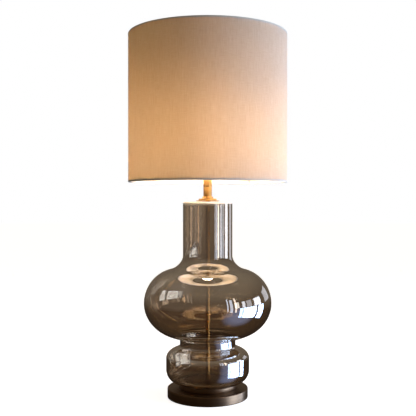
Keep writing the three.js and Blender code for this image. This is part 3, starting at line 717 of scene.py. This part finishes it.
def makeHolder():
    h = holder
    bore = h["radius"] - h["wall"]
    low, high = levels("holder_cap")
    cap = turnedPiece("holderCap", "holder_cap", [
        (h["hole"], low), (11.7, low, 0.8), (14.6, low + 1.4, 1.5), (h["radius"], low + 6, 3.5),
        (h["radius"], high - 1.6, 0.3), (h["radius"] - 0.5, high - 1.2, 0.3),
        (h["radius"], high - 0.7, 0.3),
        (h["radius"], high, 0.3), (bore, high), (bore, low + 7, 2.5), (12.9, low + h["floor"], 1),
        (h["hole"], low + h["floor"])],
        h["segments"], *brassOnStand)
    low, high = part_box("switch_bar")
    level = (low.z + high.z) / 2 / mm
    # two square windows let the switch bar through the cap
    window = 2 * h["windowHalf"] * mm
    bpy.ops.mesh.primitive_cube_add(size=1, location=(0, 0, level * mm),
                                    scale=(0.06, window, window))
    cutter = bpy.context.object
    cutModifier = cap.modifiers.new("window", "BOOLEAN")
    cutModifier.object, cutModifier.solver = cutter, "EXACT"
    bpy.context.view_layer.update()
    graph = bpy.context.evaluated_depsgraph_get()
    shaped = bpy.data.meshes.new_from_object(cap.evaluated_get(graph))
    cap.modifiers.clear()
    cap.data = shaped
    bpy.data.objects.remove(cutter)

    # a bar of rounded square section, |y|^5 + |z|^5 = 1 scaled to its half width, with eased ends
    start, end = low.x / mm, high.x / mm
    x = np.array([start, start + 0.25, start + 0.8, start + 1.6, end - 1.6, end - 0.8, end - 0.25,
                  end])
    girth = np.array([0.72, 0.86, 0.96, 1, 1, 0.96, 0.86, 0.72]) * h["barHalf"]
    a = np.linspace(0, 2 * np.pi, 49)[:-1]
    size = (np.abs(np.cos(a)) ** 5 + np.abs(np.sin(a)) ** 5) ** (-1 / 5)
    section = np.stack([np.zeros_like(a), size * np.cos(a), size * np.sin(a)], -1)
    along = np.column_stack([x, np.zeros(len(x)), np.full(len(x), level)])
    bar = girth[:, None, None] * section[None] + along[:, None, :]
    makePiece("switchBar", [gridPart(bar, False, True, np.append(a, 2 * np.pi) * 3, x - start)],
              "switch", [blackPhenolic], ["switch_bar"], sharp=45)

    low, high = levels("holder_skirt")
    flangeLow, flangeHigh = low + h["flangeLow"], low + h["flangeHigh"]
    rise = np.arange(flangeHigh + 0.9, high - 0.9, 0.3)
    outline = np.vstack([
        roundedOutline([(bore, low), (h["radius"], low, 0.3), (h["radius"], flangeLow, 0.3),
                        (h["flange"], flangeLow, 0.5), (h["flange"], flangeHigh, 0.5),
                        (h["radius"] - 0.15, flangeHigh, 0.3)])[:-1],
        np.column_stack([np.full(len(rise), h["radius"] - 0.25), rise]),
        roundedOutline([(h["radius"] - 0.4, high - 0.4, 0.2), (h["radius"] - 0.9, high, 0.2),
                        (bore, high, 0.2)])])

    def thread(radius, height, angle):
        # r changes by depth cos(2 pi (h / pitch - turns)): a rolled thread for the clamp ring
        turns = height / h["threadPitch"] - angle / (2 * np.pi)
        onThread = (np.abs(radius - h["radius"] + 0.25) < 1e-6) & (height > flangeHigh)
        return np.where(onThread, radius + h["threadDepth"] * np.cos(2 * np.pi * turns), radius)

    makePiece("holderSkirt", [turned(outline, 96, ripple=thread)], "stand", [polishedBrass],
              ["holder_skirt"])

    low, high = levels("clamp_ring")
    c = clamp
    ring = roundedOutline([
        (c["inner"], low, 0.2), (c["flange"], low, 0.4), (c["flange"], low + 2, 0.5),
        (c["grip"], low + 2.1, 0.2),
        (c["grip"], low + 3), (c["grip"], low + 4.5), (c["grip"], low + 6), (c["grip"], high, 0.6),
        (c["inner"], high, 0.4)])

    def ribs(radius, height, angle):
        # finger grips: r drops by up to the rib depth where cos(ribs a) is low, above the flange
        start, stop = (height - low - 2.2) / 0.8, (high - 0.5 - height) / 0.8
        grip = np.clip(start, 0, 1) * np.clip(stop, 0, 1)
        dip = c["ribDepth"] * grip * (0.5 - 0.5 * np.cos(c["ribs"] * angle))
        return np.where(radius > c["grip"] - 1, radius - dip, radius)

    makePiece("clampRing", [turned(ring, c["segments"], ripple=ribs)], "clamp", [blackPhenolic],
              ["clamp_ring"])


makeHolder()
print("lampholder made")


# the light bulb

lamp = {"tip": 4.5, "insulator": 11.8, "root": 12.3, "crest": 13.2, "capWall": 0.9, "neck": 12.8,
        "radius": 30, "widest": 45.5, "height": 75.5, "wall": 1.0, "pitch": 3.6}


def makeBulb():
    b = lamp
    low, high = levels("bulb_tip")
    turnedPiece("bulbTip", "bulb_tip", [
        (0, low), (b["tip"] - 1, low, 0.8), (b["tip"], high, 0.3), (0, high)], 48, "bulb",
        zincPlate, "zinc_steel")
    low, high = levels("bulb_insulator")
    turnedPiece("bulbInsulator", "bulb_insulator", [
        (0, low), (b["tip"] + 1, low, 0.5), (9, low + 1.2, 1.5), (b["insulator"], high, 0.3),
        (0, high)],
        64, "bulb", blackPhenolic, "black_plastic")

    low, high = levels("bulb_cap")
    bore = b["root"] - b["capWall"]
    rise = np.linspace(low + 0.6, high - 3.0, 60)
    outline = np.vstack([
        [(bore, low), (b["root"] - 0.3, low), (b["root"], low + 0.3)],
        np.column_stack([np.full(len(rise), b["root"]), rise]),
        [(b["root"], high - 2.4), (b["root"] + 0.2, high - 0.3), (b["root"] + 0.1, high),
         (bore, high)]])

    def thread(radius, height, angle):
        # rolled E27 thread: r = root + (crest - root) (0.5 + 0.5 cos(2 pi (h / pitch - turns))),
        # fading out at both ends
        start, stop = (height - low - 0.5) / 1.5, (high - 3.0 - height) / 1.5
        fade = np.clip(start, 0, 1) * np.clip(stop, 0, 1)
        turns = height / b["pitch"] - angle / (2 * np.pi)
        wave = (b["crest"] - b["root"]) * (0.5 + 0.5 * np.cos(2 * np.pi * turns))
        return np.where(radius > bore + 0.3, radius + fade * wave, radius)

    makePiece("bulbCap", [turned(outline, 96, ripple=thread)], "bulb", [zincPlate],
              ["bulb_cap"])

    low, high = levels("bulb_globe")
    # a neck that swells by a cubic curve into a half ellipse
    start, end = np.array([b["neck"], 5.0]), np.array([b["radius"], b["widest"]])
    swell = bezier([start, start + np.array([1, 14]), end - np.array([0, 16]), end], 28)
    crown = ellipseArc((0, b["widest"]), b["radius"], b["height"] - b["widest"], 0, 90, 26)
    outside = np.vstack([[(b["neck"], 0)], swell, crown[1:]])
    outside[-1, 0] = 0
    inside = movedIn(outside, b["wall"])
    inside[0], inside[-1] = (b["neck"] - b["wall"], 0), (0, b["height"] - b["wall"])
    outline = np.vstack([outside, inside[::-1]]) + np.array([0, low])
    # the line between the skins lies half a wall in from the outer one
    middle = movedIn(outside, b["wall"] / 2) + np.array([0, low])

    def isInside(centres):
        # a face is inside where it is nearer than the line to a point on the axis low in the bowl
        point = low + b["widest"] * 0.8
        radius, height = np.hypot(centres[:, 0], centres[:, 1]), centres[:, 2] - point
        reach, tilt = np.hypot(radius, height), np.arctan2(height, radius)
        lineReach = np.hypot(middle[:, 0], middle[:, 1] - point)
        lineTilt = np.arctan2(middle[:, 1] - point, middle[:, 0])
        order = np.argsort(lineTilt)
        return (reach < np.interp(tilt, lineTilt[order], lineReach[order])).astype(int)

    makePiece("opalGlobe", [turned(outline, 72)], "bulb", [opalGlass, opalInside],
              ["bulb_globe"], sharp=60, materialOf=isInside)


makeBulb()
print("bulb made")


# the shade: gimbal, carrier arms, wires, liner and cloth

shade = {
    "radius": 178.0, "cloth": 0.8, "linerOuter": 176.9, "linerInner": 176.3, "wireCentre": 174.4,
    "wire": 1.6,
    "hemInner": 171.8, "hem": 0.7, "hemHeight": 5.5, "lip": 2.2, "notch": 6.0, "firstArm": 54.0,
    "armReach": 125.0, "armBend": 14.0,
    "ringInner": 20.1, "ringOuter": 24.0, "bandInner": 26.5, "bandOuter": 28.0, "seamAngle": 97.0,
    "seamWidth": 11.0, "seamRise": 0.55, "segments": 240,
}


def seamAngles():
    # evenly spaced angles round the shade, with close pairs where the lap seam steps up and down
    even = np.linspace(0, 2 * np.pi, shade["segments"] + 1)[:-1]
    half = shade["seamWidth"] / 2 / shade["radius"]
    middle = math.radians(shade["seamAngle"])
    edges = middle + np.array([-half - 0.003, -half, half, half + 0.003])
    even = even[(even < edges[0] - 0.004) | (even > edges[-1] + 0.004)]
    return np.sort(np.concatenate([even, edges])), edges


def lap(angle, edges):
    # 1 on the lap and 0 off it, with straight flanks between the close pairs
    return np.interp(angle, edges, [0, 1, 1, 0])


def makeGimbal():
    g = shade
    low, high = levels("gimbal_inner_ring")
    pivot = (low + high) / 2
    inner, outer = g["ringInner"], g["ringOuter"]
    turnedPiece("gimbalRing", "gimbal_inner_ring", [
        (inner, low, 0.3), (outer, low, 0.3), (outer, high, 0.3), (inner, high, 0.3)],
        96, "gimbal", powderCoat, "white_wire")
    low, high = levels("gimbal_outer_ring")
    inner, outer = g["bandInner"], g["bandOuter"]
    turnedPiece("gimbalBand", "gimbal_outer_ring", [
        (inner, low, 0.35), (outer, low, 0.35), (outer, high, 0.35), (inner, high, 0.35)],
        128, "shade", powderCoat, "white_wire")
    for name, node, side in (("pivotBack", "gimbal_pin_back", 1),
                             ("pivotFront", "gimbal_pin_front", -1)):
        pin = roundedOutline([(0, 0), (1.5, 0, 0.1), (1.5, 4), (2.8, 4, 0.2), (2.8, 5.0, 0.8),
                              (1.4, 5.8, 0.6), (0, 5.8)])
        axisTurn = [[side, 0, 0], [0, 0, side], [0, -1, 0]]
        makePiece(name, [moved(turned(pin, 40), axisTurn, (0, side * 24.3, pivot))], "gimbal",
                  [zincPlate], [node])
    return pivot


def armPath(pivot, bottom):
    # level from the gimbal band, a quadratic Bezier bend, then straight down to the bottom wire
    g = shade
    start = np.array([g["bandOuter"] - 0.3, pivot])
    knee = np.array([g["armReach"], pivot])
    end = np.array([g["wireCentre"], bottom])
    slope = (end - knee) / np.linalg.norm(end - knee)
    end = end - slope * (g["wire"] * 0.8)
    before, after = knee - np.array([g["armBend"], 0]), knee + slope * g["armBend"]
    s = np.linspace(0, 1, 17)[:, None]
    bendPart = (1 - s) ** 2 * before + 2 * s * (1 - s) * knee + s ** 2 * after
    return np.vstack([np.linspace(start, before, 14)[:-1], bendPart,
                      np.linspace(after, end, 12)[1:]])


def makeShade():
    g = shade
    pivot = makeGimbal()
    low, high = levels("shade_bottom_ring")
    bottomWire = (low + high) / 2
    path = armPath(pivot, bottomWire)
    for k in range(3):
        angle = math.radians(g["firstArm"] + 120 * k)
        out = np.array([math.cos(angle), math.sin(angle), 0])
        side = np.array([-math.sin(angle), math.cos(angle), 0])
        line = path[:, :1] * out + path[:, 1:] * np.array([0, 0, 1])
        makePiece(f"carrierArm{k + 1}", [tube(line, g["wire"], side)], "shade", [powderCoat],
                  [f"carrier_arm_{k + 1}"], sharp=60)
    for name, node in (("bottomWire", "shade_bottom_ring"), ("topWire", "shade_top_ring")):
        low, high = levels(node)
        ring = ellipseArc((g["wireCentre"], (low + high) / 2), g["wire"], g["wire"], 0, 360,
                          17)[:-1]
        makePiece(name, [turned(ring, g["segments"])], "shade", [powderCoat], [node],
                  sharp=60)

    angles, edges = seamAngles()
    low, high = levels("shade_liner")
    liner = roundedOutline([
        (g["linerInner"], low), (g["linerOuter"], low), (g["linerOuter"], high),
        (g["linerInner"], high)])

    def linerLap(radius, height, angle):
        # the film overlaps inwards along the seam: r drops by 0.3 on the lap
        return np.where(radius < g["linerInner"] + 0.1, radius - 0.3 * lap(angle, edges), radius)

    def isLinerBack(centres):
        return (np.hypot(centres[:, 0], centres[:, 1]) > g["linerInner"] + 0.35).astype(int)

    makePiece("linerFilm", [turned(liner, angles=angles, ripple=linerLap)], "shade",
              [linerFilm, linerBack], ["shade_liner"], materialOf=isLinerBack)

    low, high = levels("shade_fabric")
    heights = np.linspace(low, high, 40)
    clothInner = g["radius"] - g["cloth"]
    outline = np.vstack([
        [(clothInner, low)], np.column_stack([np.full(len(heights), g["radius"]), heights]),
        [(clothInner, high)]])

    def clothLap(radius, height, angle):
        # the cloth overlaps outwards along the seam and swells over the wires: r = R + rise lap +
        # 0.3 near each wire
        under, over = (height - low - 2.0) / 2.2, (high - 2.0 - height) / 2.2
        wires = np.exp(-under ** 2) + np.exp(-over ** 2)
        outer = radius + g["seamRise"] * lap(angle, edges) + 0.3 * wires
        return np.where(radius > g["radius"] - 0.1, outer, radius)

    def isClothBack(centres):
        return (np.hypot(centres[:, 0], centres[:, 1]) < clothInner + 0.05).astype(int)

    cloth = makePiece("linenCover", [turned(outline, angles=angles, ripple=clothLap)], "shade",
                      [slubLinen, linenBack], ["shade_fabric"],
                      materialOf=isClothBack)

    notch = math.degrees(g["notch"] / 2 / g["hemInner"])
    foldInner, foldOuter = g["hemInner"], g["hemInner"] + g["hem"]
    for name, node, flip, clothEdge in (
            ("bottomHem", "bottom_hem", 1, levels("shade_fabric")[0]),
            ("topHem", "top_hem", -1, levels("shade_fabric")[1])):
        low, high = levels(node)
        edge = low if flip > 0 else high
        clothEnd = abs(clothEdge - edge)
        # under the wire: a lip of cloth from the wall round to the inside, and above it the fold
        lip = roundedOutline([
            (g["radius"], clothEnd), (g["radius"], 0, 0.9), (foldInner, 0, 1.4),
            (foldInner, g["lip"]),
            (foldOuter, g["lip"]), (foldOuter, g["hem"], 0.7), (clothInner, g["hem"], 0.3),
            (clothInner, clothEnd)])
        fold = roundedOutline([
            (foldInner, g["lip"]), (foldOuter, g["lip"]), (foldOuter, g["hemHeight"], 0.3),
            (foldInner, g["hemHeight"], 0.3)])
        lip, fold = (outline * np.array([1, flip]) + np.array([0, edge]) for outline in (lip, fold))
        parts = [turned(lip, g["segments"])]
        if flip > 0:
            # the bottom fold is cut away round each arm
            starts = [g["firstArm"] + 120 * k for k in range(3)]
            parts += [turned(fold, 78, span=(start + notch, start + 120 - notch))
                      for start in starts]
        else:
            parts += [turned(fold, g["segments"])]
        makePiece(name, parts, "shade", [rolledLinen], [node],
                              sharp=50)


makeShade()
print("shade made")


# CAD pieces that keep their shape, most of them inside others

keptNodes = {
    "base_weight": castIron, "base_washer": zincPlate, "base_nut": zincPlate,
    "holder_lock_nut": zincPlate,
    "terminal_block": blackPhenolic, "terminal_screw_1": polishedBrass,
    "terminal_screw_2": polishedBrass,
    "insulating_sleeve": blackPhenolic, "screw_shell": polishedBrass,
    "centre_contact": polishedBrass,
}
for node, material in keptNodes.items():
    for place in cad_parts[node].material_slots:
        place.material = material
print("materials on", len(keptNodes), "CAD nodes")


# the floor, the room and the daylight

room = {
    "floorRadius": 14.0, "ceiling": "#8f8371", "walls": "#6e6254", "low": "#3a2e24",
    "ground": "#130d09", "bounce": "#8f9cc4", "bounceTowards": (0.80, -0.42, -0.43),
}
# each pane: azimuths from the front towards +X in degrees, levels and distance in metres,
# brightness, colour; the two fills light the cloth and are not mirrored
panes = {
    "paneSlim": ((55, 61), (-0.35, 0.20), 1.15, 5.0, "#b9d5ff"),
    "paneNear": ((62.5, 91), (-0.35, 0.20), 1.15, 10.0, "#b9d5ff"),
    "paneFar": ((96, 111), (-0.35, 0.20), 1.15, 9.0, "#b9d5ff"),
    "upperSlim": ((46, 54), (0.22, 0.52), 1.15, 2.2, "#f2ede4"),
    "upperNear": ((60, 66), (0.22, 0.52), 1.15, 2.3, "#e6ebf7"),
    "upperMiddle": ((69, 80), (0.22, 0.52), 1.15, 0.9, "#e6ebf7"),
    "upperFar": ((86, 104), (0.22, 0.52), 1.15, 3.0, "#e6ebf7"),
    "upperEdge": ((118, 138), (0.22, 0.60), 1.3, 0.9, "#e6ebf7"),
    "stripNear": ((33, 35), (0.0, 1.0), 1.6, 2.0, "#dce8ff"),
    "stripMiddle": ((38, 43), (-0.1, 0.9), 1.6, 1.6, "#dce8ff"),
    "stripFar": ((47, 50), (-0.1, 1.0), 1.6, 2.5, "#ffeede"),
    "fillRight": ((60, 100), (0.7, 1.5), 1.5, 4.6, "#eaf3ee"),
    "fillSky": ((60, 105), (0.35, 0.75), 1.3, 3.6, "#9fc4ff"),
}


def makeFloor():
    a = np.linspace(0, 2 * np.pi, 97)[:-1]
    points = np.column_stack([room["floorRadius"] * np.cos(a), room["floorRadius"] * np.sin(a),
                              np.full(96, -0.0002)])
    mesh = bpy.data.meshes.new("paleFloor")
    mesh.from_pydata(points, [], [list(range(96))])
    floor = bpy.data.objects.new("paleFloor", mesh)
    bpy.context.scene.collection.objects.link(floor)
    # pale where it is seen; reflections and light pass it, and see the dark lower half of the room
    material, tree = startMaterial("paleFloor")
    path = addNode(tree, "ShaderNodeLightPath")
    pale = addNode(tree, "ShaderNodeBsdfDiffuse", {"Color": linear("#eeeeee")})
    lift = addNode(tree, "ShaderNodeEmission", {"Color": linear("#ffffff"), "Strength": 0.86})
    seen = addNode(tree, "ShaderNodeAddShader", {}, {0: pale, 1: lift})
    clear = addNode(tree, "ShaderNodeBsdfTransparent")
    mix = addNode(tree, "ShaderNodeMixShader", {},
                  {0: path.outputs["Is Camera Ray"], 1: clear, 2: seen})
    addNode(tree, "ShaderNodeOutputMaterial", {}, {"Surface": mix})
    mesh.materials.append(material)


def makePane(name, pane):
    # an upright rectangle that spans the pane's azimuths as seen from the lamp, and faces its axis
    azimuths, heights, distance, brightness, colour = pane
    middle = math.radians(sum(azimuths) / 2)
    width = 2 * distance * math.tan(math.radians(azimuths[1] - azimuths[0]) / 2)
    height = heights[1] - heights[0]
    towards = Vector((math.sin(middle), -math.cos(middle), 0))
    light = bpy.data.lights.new(name, "AREA")
    light.shape, light.size, light.size_y = "RECTANGLE", width, height
    light.color = linear(colour)[:3]
    light.energy = brightness * math.pi * width * height
    item = bpy.data.objects.new(name, light)
    item.location = towards * distance + Vector((0, 0, sum(heights) / 2))
    item.rotation_euler = towards.to_track_quat("Z", "Y").to_euler()
    item.visible_camera = False
    item.visible_glossy = item.visible_transmission = not name.startswith("fill")
    bpy.context.scene.collection.objects.link(item)


def makeRoom():
    # white to the eye; to the glass and metal, a dim room: ground, walls and ceiling by the height
    # of the direction
    world = bpy.data.worlds.new("studioRoom")
    bpy.context.scene.world = world
    world.use_nodes = True
    tree = world.node_tree
    tree.nodes.clear()
    direction = addNode(tree, "ShaderNodeTexCoord").outputs["Generated"]
    split = addNode(tree, "ShaderNodeSeparateXYZ", {}, {"Vector": direction})
    height = addNode(tree, "ShaderNodeMapRange", {"From Min": -1.0, "From Max": 1.0},
                     {"Value": split.outputs["Z"]})
    tone = addNode(tree, "ShaderNodeValToRGB", {}, {"Fac": height}, [
        (0.0, room["ground"]), (0.4, room["low"]), (0.5, room["walls"]), (0.65, room["walls"]),
        (0.85, room["ceiling"]), (1.0, room["ceiling"])])
    # daylight that the ground sends back below the panes: a soft patch round one direction
    near = addNode(tree, "ShaderNodeVectorMath",
                   {"operation": "DOT_PRODUCT", 1: room["bounceTowards"]}, {0: direction})
    patch = addNode(tree, "ShaderNodeMapRange",
                    {"interpolation_type": "SMOOTHSTEP", "From Min": 0.82, "From Max": 1.0},
                    {"Value": near.outputs["Value"]})
    lit = addNode(tree, "ShaderNodeMix", {"data_type": "RGBA", 7: linear(room["bounce"])},
                  {0: patch, 6: tone})
    dim = addNode(tree, "ShaderNodeBackground", {"Strength": 1.0}, {"Color": lit.outputs[2]})
    white = addNode(tree, "ShaderNodeBackground", {"Color": (1, 1, 1, 1), "Strength": 1.0})
    path = addNode(tree, "ShaderNodeLightPath")
    mix = addNode(tree, "ShaderNodeMixShader", {},
                  {0: path.outputs["Is Camera Ray"], 1: dim, 2: white})
    addNode(tree, "ShaderNodeOutputWorld", {}, {"Surface": mix})


makeFloor()
for name, pane in panes.items():
    makePane(name, pane)
makeRoom()
bpy.context.scene.view_settings.view_transform = "Standard"
print("studio made")
